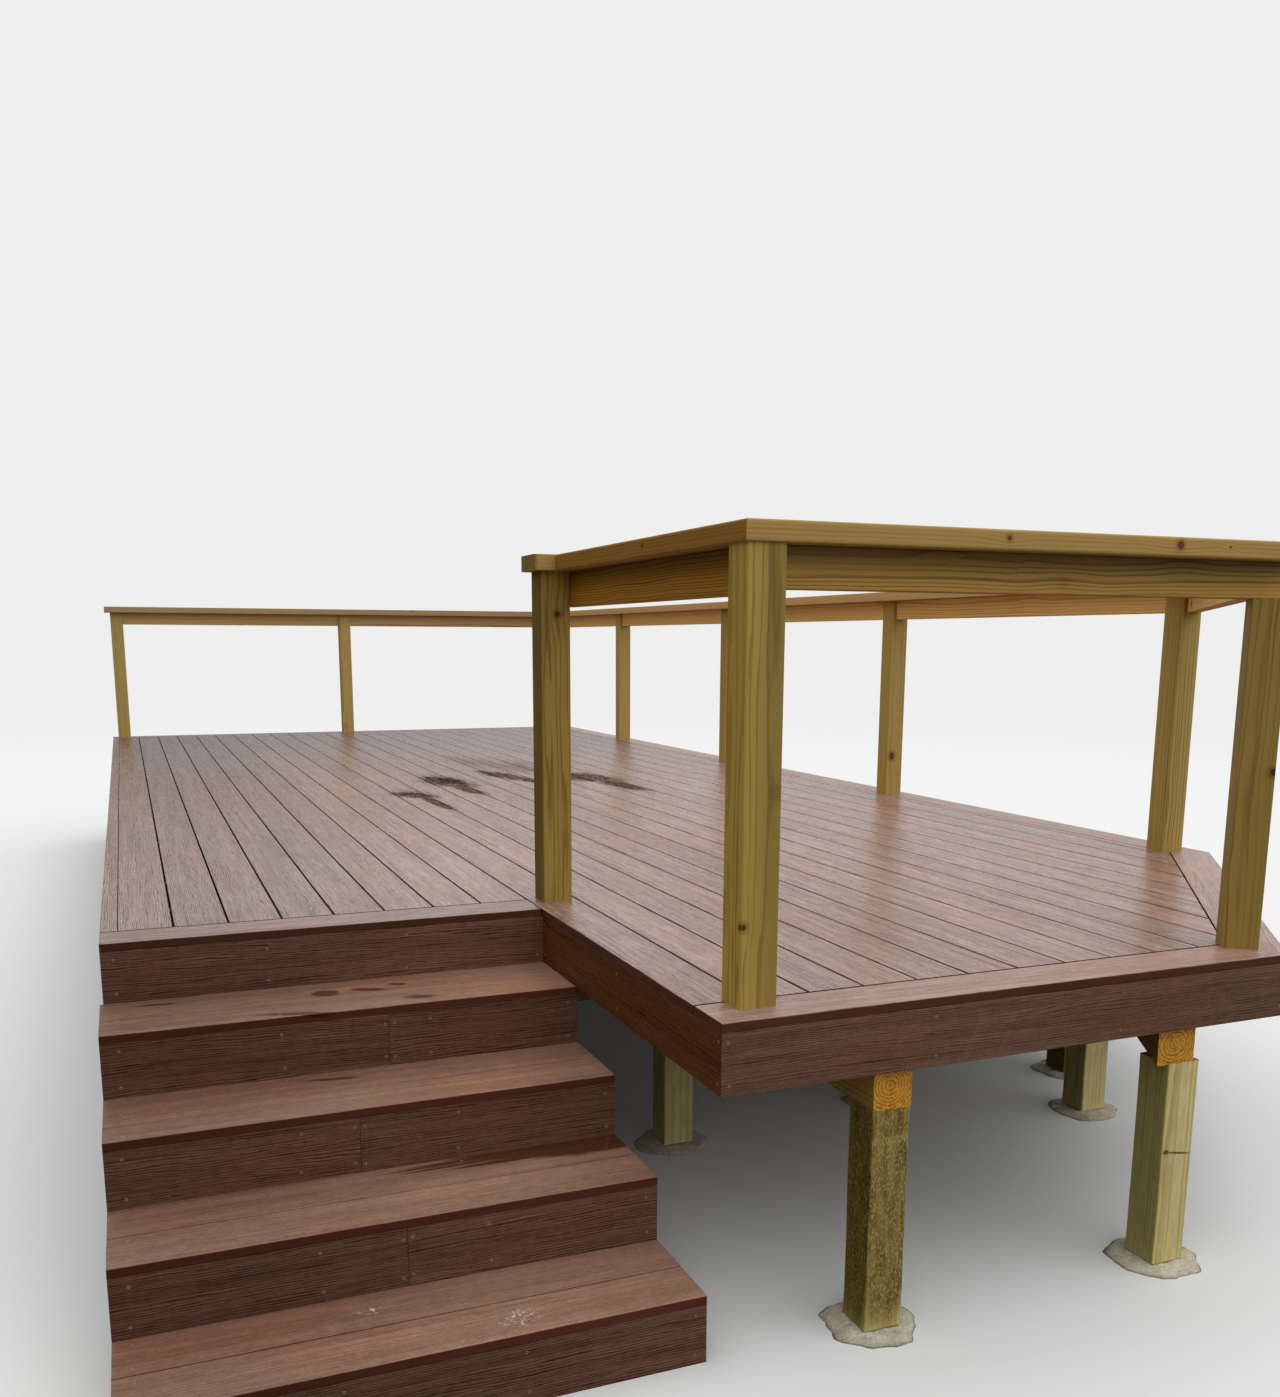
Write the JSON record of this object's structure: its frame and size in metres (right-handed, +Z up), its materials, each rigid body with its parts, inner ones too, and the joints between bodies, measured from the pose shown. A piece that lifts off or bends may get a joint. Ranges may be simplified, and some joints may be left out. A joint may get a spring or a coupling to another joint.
{
  "type": "deck with stairs",
  "caption": "raised timber deck reached by a straight flight of closed-riser stairs, with a clipped corner, stumps on concrete footings and a post handrail under a flat cap",
  "frame": {"origin": "centre of the bounding box on the ground plane", "axes": "+Z up, +Y along the house wall from the stairs to the far end, +X away from the house wall"},
  "size_m": [3.863, 8.773, 1.83],
  "materials": {
    "concrete": "rough",
    "stump_timber": "rough sawn",
    "framing_timber": "sawn",
    "fascia_board": "embossed grain",
    "tread_board": "embossed grain",
    "deck_board": "embossed grain",
    "post_timber": "planed",
    "rail_timber": "planed"
  },
  "bodies": {
    "root": {"footings": "concrete", "front_stumps": "stump_timber", "rear_stumps": "stump_timber", "bearers": "framing_timber", "slanted_bearer": "framing_timber", "stair_header": "framing_timber", "rim_joists": "framing_timber", "joists": "framing_timber", "riser_1": "fascia_board", "side_fascia": "fascia_board", "front_fascia": "fascia_board", "clipped_fascia": "fascia_board", "right_fascia": "fascia_board", "back_fascia": "fascia_board", "house_fascia": "fascia_board", "stringers": "framing_timber", "riser_2": "fascia_board", "riser_3": "fascia_board", "riser_4": "fascia_board", "riser_5": "fascia_board", "tread_1": "tread_board", "tread_2": "tread_board", "tread_3": "tread_board", "tread_4": "tread_board", "deck_boards": "deck_board", "stair_top_border": "deck_board", "front_border": "deck_board", "clipped_border": "deck_board", "right_border": "deck_board", "back_border": "deck_board", "stair_post": "post_timber", "near_corner_post": "post_timber", "clipped_front_post": "post_timber", "clipped_right_post": "post_timber", "right_posts": "post_timber", "back_posts": "post_timber", "side_rail": "rail_timber", "front_rail": "rail_timber", "clipped_rail": "rail_timber", "right_rails": "rail_timber", "back_rails": "rail_timber", "side_cap": "rail_timber", "front_cap": "rail_timber", "clipped_cap": "rail_timber", "right_cap": "rail_timber", "back_cap": "rail_timber"}
  },
  "joints": []
}
